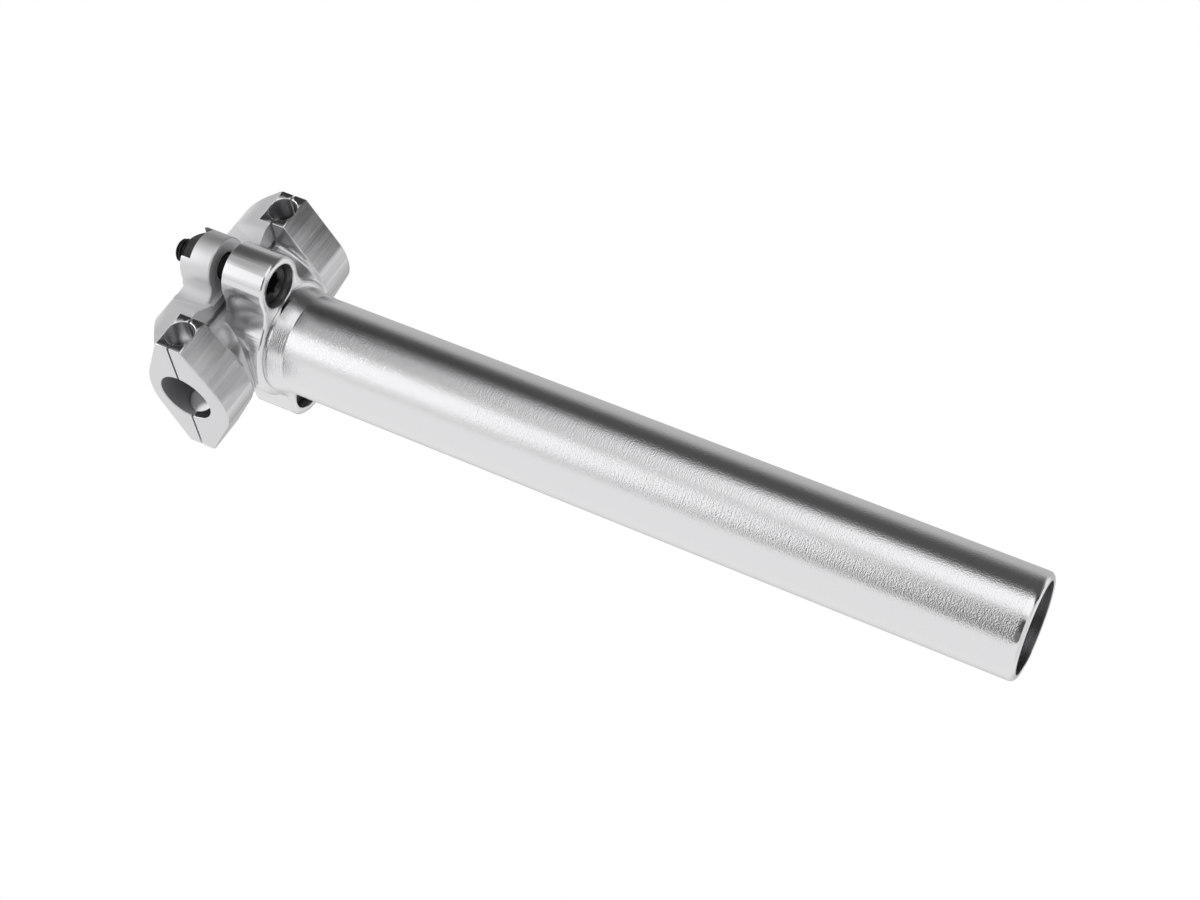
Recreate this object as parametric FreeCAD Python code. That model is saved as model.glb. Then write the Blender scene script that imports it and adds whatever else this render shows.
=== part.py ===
import FreeCAD
import Part
import math
import os

# Bicycle seatpost for railed saddles: one forged post with a two-bolt saddle clamp on its head.
# Millimetres. Z runs up the tube from the centre of its open lower end, X runs fore and aft
# through the two bolts, and Y runs across the bicycle, along the clamp's tilting axis.

# Tube
tube_diameter = 25.4
tube_wall = 1.8
tube_length = 192.0
mouth_round = 1.4
mouth_bevel = 0.2
flare_height = 5.0
flare_growth = 0.4
bore_stop = 5.0
bore_end_bevel = 2.0

# Head of the post
flange_overhang = 2.3
axis_height = 14.0
boss_drop = 2.2
bolt_spacing = 38.5
boss_wall = 2.1
web_radius = 8.0
rim_chamfer = 0.7
top_chamfer = 0.3

# Socket-head bolts, size M6
bolt_diameter = 6.0
bolt_tail = 3.95
point_chamfer = 0.6
head_diameter = 10.0
head_height = 6.0
head_chamfer = 0.5
head_sink = 2.2
socket_across_flats = 5.0
socket_depth = 3.0
socket_bevel = 0.3
counterbore_clearance = 0.5
counterbore_chamfer = 0.25
bolt_seat_gap = 0.4
boss_hole_clearance = 0.5

# Thin hexagon nuts
nut_across_flats = 10.0
nut_height = 3.2
nut_bore_clearance = 0.05
nut_corner_drop = 0.5
nut_seat_gap = 0.35
slot_floor_height = 7.5
slot_side_clearance = 0.05
slot_end_clearance = 0.6

# Clamp jaws
journal_radius = 11.6
journal_clearance = 0.08
rail_diameter = 7.0
rail_spacing = 44.0
jaw_width = 10.6
jaw_length = 37.4
lower_back_radius = 12.5
lower_flank_angle = 30.0
upper_top = 10.4
upper_back_radius = 16.0
upper_flank_angle = 23.5
window_diameter = 14.0
split_gap = 0.6
shoulder_bevel = 1.2
edge_chamfer = 0.3

# Key of the lower jaw and its pocket in the upper jaw
key_step = 0.4
key_base = 1.0
key_top = 4.4
key_end_gap = 0.4
pocket_clearance = 0.6

# Body and ears of the upper jaw
body_inset = 0.3
flare_run = 4.7
flare_end_y = 14.6
flare_foot_round = 2.5
flare_end_round = 3.0
rim_bevel = 0.5
shoulder_start_y = 15.0
shoulder_radius = 10.0
shoulder_angle = 36.0
end_round = 4.5
ear_lip = 1.4
ear_bottom = 1.6
ear_step_run = 1.1
ear_step_y = 9.6
ear_under_bevel = 0.4
ear_hole_clearance = 0.7

# How far a cutting tool runs past the faces it opens
tool_run = 2.0

# Sizes that follow from the ones above
tube_radius = tube_diameter / 2
bore_radius = tube_radius - tube_wall
flange_z = tube_length
axis_z = flange_z + axis_height
head_top_z = axis_z - boss_drop
head_radius = tube_radius + flange_overhang
bolt_x = bolt_spacing / 2
bolt_radius = bolt_diameter / 2
head_radius_bolt = head_diameter / 2
counterbore_radius = head_radius_bolt + counterbore_clearance
boss_radius = counterbore_radius + boss_wall
bolt_seat_z = flange_z + head_sink + head_height
counterbore_floor_z = bolt_seat_z + bolt_seat_gap
slot_floor_z = axis_z + slot_floor_height
nut_base_z = slot_floor_z + nut_seat_gap
nut_top_z = nut_base_z + nut_height
bolt_end_z = nut_top_z + bolt_tail
nut_corner_radius = nut_across_flats / 2 / math.cos(math.radians(30.0))
ear_radius = nut_corner_radius + ear_lip
rail_radius = rail_diameter / 2
rail_y = rail_spacing / 2
jaw_inner_y = rail_y - jaw_width / 2
jaw_outer_y = rail_y + jaw_width / 2
jaw_half_length = jaw_length / 2
window_radius = window_diameter / 2
key_half_width = journal_radius + key_step
key_half_length = jaw_inner_y - key_end_gap
body_x = jaw_half_length - body_inset
body_y = jaw_outer_y - edge_chamfer
flare_foot_x = body_x - flare_run
ear_step_x = flare_foot_x + ear_step_run


def point(x, y, z):
    return FreeCAD.Vector(x, y, z)


def line(start, end):
    return Part.LineSegment(start, end).toShape()


def arc(start, middle, end):
    return Part.Arc(start, middle, end).toShape()


def face(edges):
    return Part.Face(Part.Wire(edges))


def box(low_x, high_x, low_y, high_y, low_z, high_z):
    size = (high_x - low_x, high_y - low_y, high_z - low_z)
    return Part.makeBox(size[0], size[1], size[2], point(low_x, low_y, low_z))


def cylinder_y(radius, low_y, high_y, x, z):
    return Part.makeCylinder(radius, high_y - low_y, point(x, low_y, z), point(0, 1, 0))


def revolve_z(edges, x):
    """Turns an outline drawn in the XZ plane about the upright line through x."""
    solid = face(edges).revolve(point(0, 0, 0), point(0, 0, 1), 360)
    solid.translate(point(x, 0, 0))
    return solid


def edges_at_height(solid, z):
    """The edges of a solid that lie level at one height."""
    tolerance = 1e-4
    found = []
    for edge in solid.Edges:
        bounds = edge.BoundBox
        if abs(bounds.ZMin - z) < tolerance and abs(bounds.ZMax - z) < tolerance:
            found.append(edge)
    return found


def waist(radius_a, radius_b, distance, blend):
    """Tangent points and middle of a concave arc between two circles on the X axis."""
    reach_a = radius_a + blend
    reach_b = radius_b + blend
    centre_x = (reach_a ** 2 - reach_b ** 2 + distance ** 2) / (2 * distance)
    centre_y = math.sqrt(reach_a ** 2 - centre_x ** 2)
    touch_a = (centre_x * radius_a / reach_a, centre_y * radius_a / reach_a)
    share_b = radius_b / reach_b
    touch_b = (distance + (centre_x - distance) * share_b, centre_y * share_b)
    middle = arc_middle((centre_x, centre_y), touch_a, touch_b, blend)
    return touch_a, middle, touch_b


def arc_middle(centre, start, end, radius):
    """Middle of the shorter arc from start to end around a centre."""
    across_x = (start[0] + end[0]) / 2 - centre[0]
    across_y = (start[1] + end[1]) / 2 - centre[1]
    length = math.hypot(across_x, across_y)
    return (centre[0] + across_x * radius / length, centre[1] + across_y * radius / length)


def head_outline(z):
    """Plan of the head: a round body and two bosses joined by concave webs."""
    touch_a, middle, touch_b = waist(head_radius, boss_radius, bolt_x, web_radius)
    edges = []
    for side in (1, -1):
        edges.append(arc(point(side * touch_a[0], touch_a[1] * side, z),
                         point(0, side * head_radius, z),
                         point(-side * touch_a[0], touch_a[1] * side, z)))
        edges.append(arc(point(side * touch_b[0], -touch_b[1], z),
                         point(side * (bolt_x + boss_radius), 0, z),
                         point(side * touch_b[0], touch_b[1], z)))
        for across in (1, -1):
            edges.append(arc(point(side * touch_a[0], across * touch_a[1], z),
                             point(side * middle[0], across * middle[1], z),
                             point(side * touch_b[0], across * touch_b[1], z)))
    return face(Part.__sortEdges__(edges))


def make_tube():
    """Turned tube with a rounded mouth, a blind bore and a slight flare under the head."""
    stop_z = flange_z - bore_stop
    corner = math.sqrt(0.5)
    top_z = flange_z + rim_chamfer
    mouth = arc(point(tube_radius - mouth_round, 0, 0),
                point(tube_radius - mouth_round * (1 - corner), 0, mouth_round * (1 - corner)),
                point(tube_radius, 0, mouth_round))
    edges = [
        line(point(bore_radius + mouth_bevel, 0, 0), point(tube_radius - mouth_round, 0, 0)),
        mouth,
        line(point(tube_radius, 0, mouth_round), point(tube_radius, 0, flange_z - flare_height)),
        line(point(tube_radius, 0, flange_z - flare_height),
             point(tube_radius + flare_growth, 0, flange_z)),
        line(point(tube_radius + flare_growth, 0, flange_z),
             point(tube_radius + flare_growth, 0, top_z)),
        line(point(tube_radius + flare_growth, 0, top_z), point(0, 0, top_z)),
        line(point(0, 0, top_z), point(0, 0, stop_z)),
        line(point(0, 0, stop_z), point(bore_radius - bore_end_bevel, 0, stop_z)),
        line(point(bore_radius - bore_end_bevel, 0, stop_z),
             point(bore_radius, 0, stop_z - bore_end_bevel)),
        line(point(bore_radius, 0, stop_z - bore_end_bevel), point(bore_radius, 0, mouth_bevel)),
        line(point(bore_radius, 0, mouth_bevel), point(bore_radius + mouth_bevel, 0, 0)),
    ]
    return revolve_z(edges, 0)


def bolt_pocket(x):
    """Space for one bolt: a flat-bottomed counterbore from below and a clearance hole."""
    low_z = flange_z - tool_run
    mouth_radius = counterbore_radius + counterbore_chamfer
    edges = [
        line(point(0, 0, low_z), point(mouth_radius, 0, low_z)),
        line(point(mouth_radius, 0, low_z), point(mouth_radius, 0, flange_z)),
        line(point(mouth_radius, 0, flange_z),
             point(counterbore_radius, 0, flange_z + counterbore_chamfer)),
        line(point(counterbore_radius, 0, flange_z + counterbore_chamfer),
             point(counterbore_radius, 0, counterbore_floor_z)),
        line(point(counterbore_radius, 0, counterbore_floor_z), point(0, 0, counterbore_floor_z)),
        line(point(0, 0, counterbore_floor_z), point(0, 0, low_z)),
    ]
    hole_radius = bolt_radius + boss_hole_clearance
    hole = Part.makeCylinder(hole_radius, head_top_z - flange_z + tool_run, point(x, 0, flange_z))
    return revolve_z(edges, x).fuse(hole)


def make_post():
    """Tube and forged head in one piece, with the round cradle that carries the clamp."""
    head = head_outline(flange_z).extrude(point(0, 0, head_top_z - flange_z))
    head = head.makeChamfer(rim_chamfer, edges_at_height(head, flange_z))
    head = head.makeChamfer(top_chamfer, edges_at_height(head, head_top_z))
    post = head.fuse(make_tube())
    cradle_radius = journal_radius + journal_clearance
    reach = head_radius + tool_run
    post = post.cut(cylinder_y(cradle_radius, -reach, reach, 0, axis_z))
    for x in (bolt_x, -bolt_x):
        post = post.cut(bolt_pocket(x))
    return post.removeSplitter()


def jaw_section(half_length, side, y, margin):
    """Section of a jaw, flat ends, sloping flanks and round back; side 1 is up, -1 is down."""
    back_radius = (upper_back_radius if side > 0 else lower_back_radius) - margin
    rise = upper_top - upper_back_radius if side > 0 else 0.0
    slope = math.radians(upper_flank_angle if side > 0 else lower_flank_angle)
    end_height = rise + (back_radius - half_length * math.sin(slope)) / math.cos(slope)
    touch_x = back_radius * math.sin(slope)
    touch_z = rise + back_radius * math.cos(slope)
    near_z = split_gap / 2
    corners = [
        point(-half_length, y, axis_z + side * near_z),
        point(half_length, y, axis_z + side * near_z),
        point(half_length, y, axis_z + side * end_height),
        point(touch_x, y, axis_z + side * touch_z),
        point(-touch_x, y, axis_z + side * touch_z),
        point(-half_length, y, axis_z + side * end_height),
    ]
    back = arc(corners[3], point(0, y, axis_z + side * (rise + back_radius)), corners[4])
    edges = [line(corners[0], corners[1]), line(corners[1], corners[2]), line(corners[2], corners[3]),
             back, line(corners[4], corners[5]), line(corners[5], corners[0])]
    return face(edges)


def jaw_blocks(side):
    """The two rail blocks of one jaw, with every edge broken but those at the split."""
    blocks = []
    tolerance = 1e-4
    split_z = axis_z + side * split_gap / 2
    for across in (1, -1):
        section = jaw_section(jaw_half_length, side, across * jaw_inner_y, 0)
        block = section.extrude(point(0, across * jaw_width, 0))
        broken = []
        for edge in block.Edges:
            bounds = edge.BoundBox
            at_split = abs(bounds.ZMin - split_z) < tolerance or abs(bounds.ZMax - split_z) < tolerance
            on_tangent = bounds.XLength < tolerance and abs(bounds.XMin) < jaw_half_length - tolerance
            if not on_tangent and not (at_split and bounds.ZLength < tolerance):
                broken.append(edge)
        blocks.append(block.makeChamfer(edge_chamfer, broken))
    return blocks


def flared_bore(radius, half_length, chamfer):
    """Round cutting tool along Z, centred, with a chamfered mouth at each end."""
    wide = radius + chamfer
    far = half_length + tool_run
    edges = [
        line(point(0, 0, -far), point(wide, 0, -far)),
        line(point(wide, 0, -far), point(wide, 0, -half_length)),
        line(point(wide, 0, -half_length), point(radius, 0, -half_length + chamfer)),
        line(point(radius, 0, -half_length + chamfer), point(radius, 0, half_length - chamfer)),
        line(point(radius, 0, half_length - chamfer), point(wide, 0, half_length)),
        line(point(wide, 0, half_length), point(wide, 0, far)),
        line(point(wide, 0, far), point(0, 0, far)),
        line(point(0, 0, far), point(0, 0, -far)),
    ]
    return revolve_z(edges, 0)


def jaw_bores():
    """Everything bored through both jaws together: two rail bores and the cross window."""
    window = flared_bore(window_radius, jaw_outer_y, edge_chamfer)
    window.rotate(point(0, 0, 0), point(1, 0, 0), 90)
    tools = [window]
    for y in (rail_y, -rail_y):
        rail = flared_bore(rail_radius, jaw_half_length, edge_chamfer)
        rail.rotate(point(0, 0, 0), point(0, 1, 0), 90)
        rail.translate(point(0, y, 0))
        tools.append(rail)
    bores = tools[0].multiFuse(tools[1:])
    bores.translate(point(0, 0, axis_z))
    return bores


def make_journal():
    """Round middle of the lower jaw, with a sloping shoulder against each rail block."""
    wide = journal_radius + shoulder_bevel
    edges = []
    for side in (1, -1):
        end = point(wide, side * jaw_inner_y, 0)
        edges.append(line(point(journal_radius, side * (jaw_inner_y - shoulder_bevel), 0), end))
        edges.append(line(end, point(0, side * jaw_inner_y, 0)))
    edges.append(line(point(journal_radius, jaw_inner_y - shoulder_bevel, 0),
                      point(journal_radius, shoulder_bevel - jaw_inner_y, 0)))
    edges.append(line(point(0, jaw_inner_y, 0), point(0, -jaw_inner_y, 0)))
    journal = face(Part.__sortEdges__(edges)).revolve(point(0, 0, 0), point(0, 1, 0), 360)
    journal.translate(point(0, 0, axis_z))
    section = jaw_section(wide, -1, -jaw_inner_y, edge_chamfer)
    return journal.common(section.extrude(point(0, 2 * jaw_inner_y, 0)))


def make_lower_jaw():
    """Lower jaw: two rail blocks on a round journal, with a key that locates the upper jaw."""
    key = box(-key_half_width, key_half_width, -key_half_length, key_half_length,
              axis_z + key_base, axis_z + key_top)
    key = key.makeChamfer(edge_chamfer, edges_at_height(key, axis_z + key_top))
    neck = cylinder_y(journal_radius, -key_half_length, key_half_length, 0, axis_z)
    neck = neck.common(box(-journal_radius, journal_radius, -key_half_length, key_half_length,
                           axis_z - split_gap, axis_z + key_base))
    jaw = make_journal().multiFuse([key, neck] + jaw_blocks(-1))
    return jaw.cut(jaw_bores()).removeSplitter()


def upper_plan(z):
    """Plan of the upper jaw: a round ear at each end, flaring out to the two rail blocks."""
    edges = []
    for side in (1, -1):
        edges.append(arc(point(side * bolt_x, -ear_radius, z), point(side * (bolt_x + ear_radius), 0, z),
                         point(side * bolt_x, ear_radius, z)))
        for across in (1, -1):
            corners = [point(side * bolt_x, across * ear_radius, z),
                       point(side * flare_foot_x, across * ear_radius, z),
                       point(side * body_x, across * flare_end_y, z),
                       point(side * body_x, across * body_y, z)]
            for i in range(3):
                edges.append(line(corners[i], corners[i + 1]))
    for across in (1, -1):
        edges.append(line(point(-body_x, across * body_y, z), point(body_x, across * body_y, z)))
    return face(Part.__sortEdges__(edges))


def upright_edges(solid, x, y):
    """The four upright edges of a solid at the corners of a rectangle of half sizes x and y."""
    tolerance = 1e-4
    found = []
    for edge in solid.Edges:
        bounds = edge.BoundBox
        upright = bounds.XLength < tolerance and bounds.YLength < tolerance
        if upright and abs(abs(bounds.XMin) - x) < tolerance and abs(abs(bounds.YMin) - y) < tolerance:
            found.append(edge)
    return found


def shoulder_prism():
    """Space under the upper jaw's top: flat in the middle, rounded and sloping down to each side."""
    low_z = axis_z + split_gap / 2
    high_z = axis_z + upper_top
    turn = math.radians(shoulder_angle)
    half_turn = turn / 2
    centre_z = high_z - shoulder_radius
    end_y = shoulder_start_y + shoulder_radius * math.sin(turn)
    end_z = centre_z + shoulder_radius * math.cos(turn)
    far_y = jaw_outer_y + tool_run
    far_z = end_z - (far_y - end_y) * math.tan(turn)
    x = -jaw_length
    edges = [line(point(x, -far_y, low_z), point(x, far_y, low_z)),
             line(point(x, -shoulder_start_y, high_z), point(x, shoulder_start_y, high_z))]
    for across in (1, -1):
        edges.append(arc(point(x, across * shoulder_start_y, high_z),
                         point(x, across * (shoulder_start_y + shoulder_radius * math.sin(half_turn)),
                               centre_z + shoulder_radius * math.cos(half_turn)),
                         point(x, across * end_y, end_z)))
        edges.append(line(point(x, across * end_y, end_z), point(x, across * far_y, far_z)))
        edges.append(line(point(x, across * far_y, far_z), point(x, across * far_y, low_z)))
    return face(Part.__sortEdges__(edges)).extrude(point(2 * jaw_length, 0, 0))


def end_round_tool(side, across):
    """Space outside the large rounding along the top of one end of the upper jaw."""
    high_z = axis_z + upper_top
    corner = math.sqrt(0.5)
    start_x = body_x - end_round
    near_y = across * (ear_radius + slot_side_clearance)
    far_y = across * (jaw_outer_y + tool_run)
    edges = [
        arc(point(side * start_x, near_y, high_z),
            point(side * (start_x + end_round * corner), near_y, high_z - end_round * (1 - corner)),
            point(side * body_x, near_y, high_z - end_round)),
        line(point(side * body_x, near_y, high_z - end_round),
             point(side * (body_x + tool_run), near_y, high_z - end_round)),
        line(point(side * (body_x + tool_run), near_y, high_z - end_round),
             point(side * (body_x + tool_run), near_y, high_z + tool_run)),
        line(point(side * (body_x + tool_run), near_y, high_z + tool_run),
             point(side * start_x, near_y, high_z + tool_run)),
        line(point(side * start_x, near_y, high_z + tool_run), point(side * start_x, near_y, high_z)),
    ]
    return face(edges).extrude(point(0, far_y - near_y, 0))


def make_upper_body():
    """Body of the upper jaw with its ears, before anything is bored through it."""
    low_z = axis_z + split_gap / 2
    body = upper_plan(low_z).extrude(point(0, 0, axis_z + upper_top - low_z))
    body = body.makeFillet(flare_foot_round, upright_edges(body, flare_foot_x, ear_radius))
    body = body.makeFillet(flare_end_round, upright_edges(body, body_x, flare_end_y))
    body = body.makeChamfer(rim_bevel, edges_at_height(body, axis_z + upper_top))
    for side in (1, -1):
        near_x = side * ear_step_x
        far_x = side * (bolt_x + ear_radius + tool_run)
        body = body.cut(box(min(near_x, far_x), max(near_x, far_x), -ear_step_y, ear_step_y,
                            low_z - tool_run, axis_z + ear_bottom))
    under = []
    for edge in edges_at_height(body, axis_z + ear_bottom):
        if edge.Curve.TypeId == "Part::GeomCircle" and abs(edge.Curve.Radius - ear_radius) < rim_bevel:
            under.append(edge)
    body = body.makeChamfer(ear_under_bevel, under)
    body = body.common(shoulder_prism())
    for side in (1, -1):
        for across in (1, -1):
            body = body.cut(end_round_tool(side, across))
    return body


def nut_slot(side):
    """Slot across an ear, open at its outer end, that keeps the nut from turning."""
    half_width = nut_across_flats / 2 + slot_side_clearance
    near_x = bolt_x - nut_corner_radius - slot_end_clearance
    far_x = bolt_x + ear_radius + tool_run
    low_x = min(side * near_x, side * far_x)
    high_x = max(side * near_x, side * far_x)
    return box(low_x, high_x, -half_width, half_width, slot_floor_z, axis_z + upper_top + tool_run)


def make_upper_jaw():
    """Upper jaw: a body with an ear for each bolt, and the two rail blocks."""
    jaw = make_upper_body().multiFuse(jaw_blocks(1)).removeSplitter()
    pocket_x = key_half_width + pocket_clearance
    pocket_y = key_half_length + key_end_gap
    pocket = box(-pocket_x, pocket_x, -pocket_y, pocket_y, axis_z - tool_run,
                 axis_z + key_top + pocket_clearance)
    jaw = jaw.cut(pocket).cut(jaw_bores())
    hole_radius = bolt_radius + ear_hole_clearance
    for side in (1, -1):
        hole = Part.makeCylinder(hole_radius, upper_top + tool_run, point(side * bolt_x, 0, axis_z))
        jaw = jaw.cut(hole).cut(nut_slot(side))
    return jaw.removeSplitter()


def make_bolt(side):
    """Socket-head bolt, head down, with its shank up through boss, ear and nut."""
    base_z = bolt_seat_z - head_height
    slant = head_chamfer
    edges = [
        line(point(0, 0, base_z), point(head_radius_bolt - slant, 0, base_z)),
        line(point(head_radius_bolt - slant, 0, base_z), point(head_radius_bolt, 0, base_z + slant)),
        line(point(head_radius_bolt, 0, base_z + slant), point(head_radius_bolt, 0, bolt_seat_z)),
        line(point(head_radius_bolt, 0, bolt_seat_z), point(bolt_radius, 0, bolt_seat_z)),
        line(point(bolt_radius, 0, bolt_seat_z), point(bolt_radius, 0, bolt_end_z - point_chamfer)),
        line(point(bolt_radius, 0, bolt_end_z - point_chamfer),
             point(bolt_radius - point_chamfer, 0, bolt_end_z)),
        line(point(bolt_radius - point_chamfer, 0, bolt_end_z), point(0, 0, bolt_end_z)),
        line(point(0, 0, bolt_end_z), point(0, 0, base_z)),
    ]
    bolt = revolve_z(edges, side * bolt_x)
    socket = hexagon(socket_across_flats, side * bolt_x, base_z - tool_run)
    socket = socket.extrude(point(0, 0, socket_depth + tool_run))
    corner_radius = socket_across_flats / 2 / math.cos(math.radians(30.0))
    lead_in = Part.makeCone(corner_radius + tool_run, corner_radius - socket_bevel, tool_run + socket_bevel,
                            point(side * bolt_x, 0, base_z - tool_run))
    return bolt.cut(socket).cut(lead_in)


def hexagon(across_flats, x, z):
    """Level hexagon with corners fore and aft."""
    radius = across_flats / 2 / math.cos(math.radians(30.0))
    corners = []
    for i in range(7):
        turn = math.radians(60.0 * i)
        corners.append(point(x + radius * math.cos(turn), radius * math.sin(turn), z))
    return Part.Face(Part.makePolygon(corners))


def make_nut(side):
    """Thin hexagon nut with the corners of both faces bevelled."""
    half_width = nut_across_flats / 2
    nut = hexagon(nut_across_flats, side * bolt_x, nut_base_z)
    nut = nut.extrude(point(0, 0, nut_height))
    flat_radius = half_width * math.cos(math.radians(15.0))
    bevel = [
        line(point(0, 0, nut_base_z), point(flat_radius, 0, nut_base_z)),
        line(point(flat_radius, 0, nut_base_z), point(nut_corner_radius, 0, nut_base_z + nut_corner_drop)),
        line(point(nut_corner_radius, 0, nut_base_z + nut_corner_drop),
             point(nut_corner_radius, 0, nut_top_z - nut_corner_drop)),
        line(point(nut_corner_radius, 0, nut_top_z - nut_corner_drop), point(flat_radius, 0, nut_top_z)),
        line(point(flat_radius, 0, nut_top_z), point(0, 0, nut_top_z)),
        line(point(0, 0, nut_top_z), point(0, 0, nut_base_z)),
    ]
    bore = Part.makeCylinder(bolt_radius + nut_bore_clearance, nut_height + tool_run,
                             point(side * bolt_x, 0, nut_base_z - tool_run / 2))
    return nut.common(revolve_z(bevel, side * bolt_x)).cut(bore)


def main():
    parts = {
        "post": make_post(),
        "lower_jaw": make_lower_jaw(),
        "upper_jaw": make_upper_jaw(),
    }
    for name, side in (("front", 1), ("rear", -1)):
        parts[name + "_bolt"] = make_bolt(side)
        parts[name + "_nut"] = make_nut(side)
    os.makedirs("parts", exist_ok=True)
    for name, shape in parts.items():
        shape.exportStep("parts/" + name + ".step")
        print(name, len(shape.Solids), "solid", round(shape.Volume, 1), "mm3", shape.isValid())


main()
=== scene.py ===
"""Bicycle seatpost with a two-bolt saddle clamp: finishes, fine shapes, studio and camera."""

import logging
import math
from dataclasses import dataclass, field
from enum import Enum
from typing import Any, Callable, Iterable, Optional, Union

import bmesh
import bpy
from mathutils import Matrix, Vector


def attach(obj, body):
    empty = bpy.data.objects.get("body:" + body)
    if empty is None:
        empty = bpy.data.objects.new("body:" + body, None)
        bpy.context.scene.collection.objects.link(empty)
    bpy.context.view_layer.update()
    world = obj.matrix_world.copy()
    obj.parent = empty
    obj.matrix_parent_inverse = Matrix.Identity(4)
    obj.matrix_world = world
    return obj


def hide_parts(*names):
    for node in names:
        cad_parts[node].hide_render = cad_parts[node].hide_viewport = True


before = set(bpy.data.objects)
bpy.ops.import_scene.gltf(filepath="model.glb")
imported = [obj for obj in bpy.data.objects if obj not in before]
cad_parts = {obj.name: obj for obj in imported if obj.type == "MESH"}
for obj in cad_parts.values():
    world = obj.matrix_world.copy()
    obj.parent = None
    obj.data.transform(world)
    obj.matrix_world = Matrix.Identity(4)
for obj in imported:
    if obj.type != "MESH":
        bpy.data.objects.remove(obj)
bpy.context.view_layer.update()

log = logging.getLogger("seatpost")

MM = 0.001
WELD = 1e-6
FACE_WEIGHT = 100
Colour = tuple[float, float, float]
Number = Union[float, "Wire"]


class Slot(Enum):
    """Material slots of the record."""

    TURNED = "turned_alloy"
    MACHINED = "machined_alloy"
    BLASTED = "blasted_alloy"
    BLACK = "black_steel"


class Wire:
    """One output socket of a shader tree, with arithmetic on it."""

    def __init__(self, net: "Net", socket: Optional[bpy.types.NodeSocket]) -> None:
        """Keeps the socket and the tree it is in."""
        self.net = net
        self.socket = socket

    def math(self, operation: str, *others: Number) -> "Wire":
        """Adds a Math node.

        Args:
            operation: The node's operation.
            others: Its second and third values or links.

        Returns:
            The node's result.
        """
        return self.net.node("ShaderNodeMath", {"operation": operation}, (self, *others))

    def __add__(self, other: Number) -> "Wire":
        """Sum."""
        return self.math("ADD", other)

    __radd__ = __add__

    def __mul__(self, other: Number) -> "Wire":
        """Product."""
        return self.math("MULTIPLY", other)

    __rmul__ = __mul__

    def __sub__(self, other: Number) -> "Wire":
        """Difference."""
        return self.math("SUBTRACT", other)

    def __rsub__(self, other: float) -> "Wire":
        """Difference from a plain number."""
        return self.net.node("ShaderNodeMath", {"operation": "SUBTRACT"}, (other, self))

    def step(self, low: float, high: float) -> "Wire":
        """A smooth step up.

        Args:
            low: Value below which the result is 0.
            high: Value above which it is 1.

        Returns:
            The stepped value.
        """
        return self.ramp(low, high, 0.0, 1.0)

    def fall(self, low: float, high: float) -> "Wire":
        """A smooth step down.

        Args:
            low: Value below which the result is 1.
            high: Value above which it is 0.

        Returns:
            The stepped value.
        """
        return self.ramp(low, high, 1.0, 0.0)

    def ramp(self, low: float, high: float, to_low: float, to_high: float) -> "Wire":
        """A smooth change from one result below low to another above high."""
        return self.net.node("ShaderNodeMapRange", {"interpolation_type": "SMOOTHSTEP"},
                             (self, low, high, to_low, to_high))


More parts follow.
